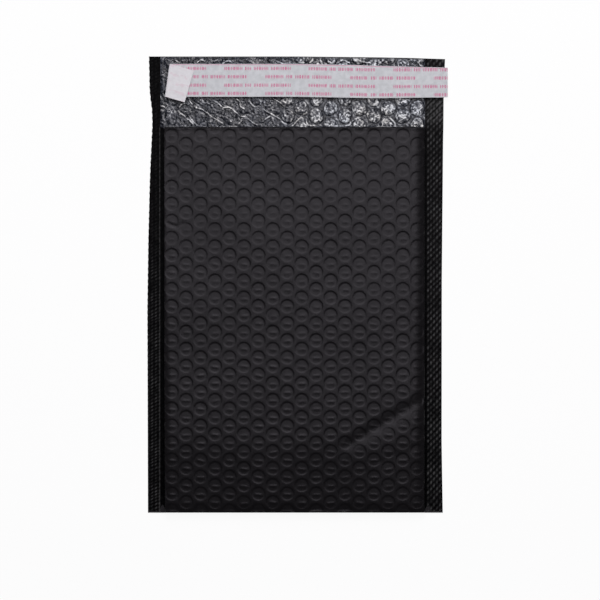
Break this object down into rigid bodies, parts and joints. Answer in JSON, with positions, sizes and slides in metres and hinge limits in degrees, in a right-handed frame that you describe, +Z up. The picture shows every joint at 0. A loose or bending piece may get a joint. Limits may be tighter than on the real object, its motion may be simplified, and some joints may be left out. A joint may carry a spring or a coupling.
{
  "type": "padded envelope",
  "caption": "Empty black film mailer lined with clear bubble film, lying flat with its flap open and a release liner over the glue.",
  "frame": {"origin": "under the middle of the whole part, on the plane that it lies on", "axes": "+Y towards the flap's end, +Z up out of the front panel, +X to the right seen from the front"},
  "size_m": [0.2026, 0.3094, 0.0116],
  "materials": {
    "black_film": "matte, fine grained, with a soft sheen",
    "bubble_film": "clear and glossy, crinkled over the black film",
    "hot_melt_glue": "translucent, tacky",
    "liner_paper": "smooth coated paper with pink printed bars"
  },
  "bodies": {
    "root": {"outer_film": "black_film", "bubble_lining": "bubble_film", "adhesive_strip": "hot_melt_glue", "release_liner": "liner_paper"}
  },
  "joints": []
}
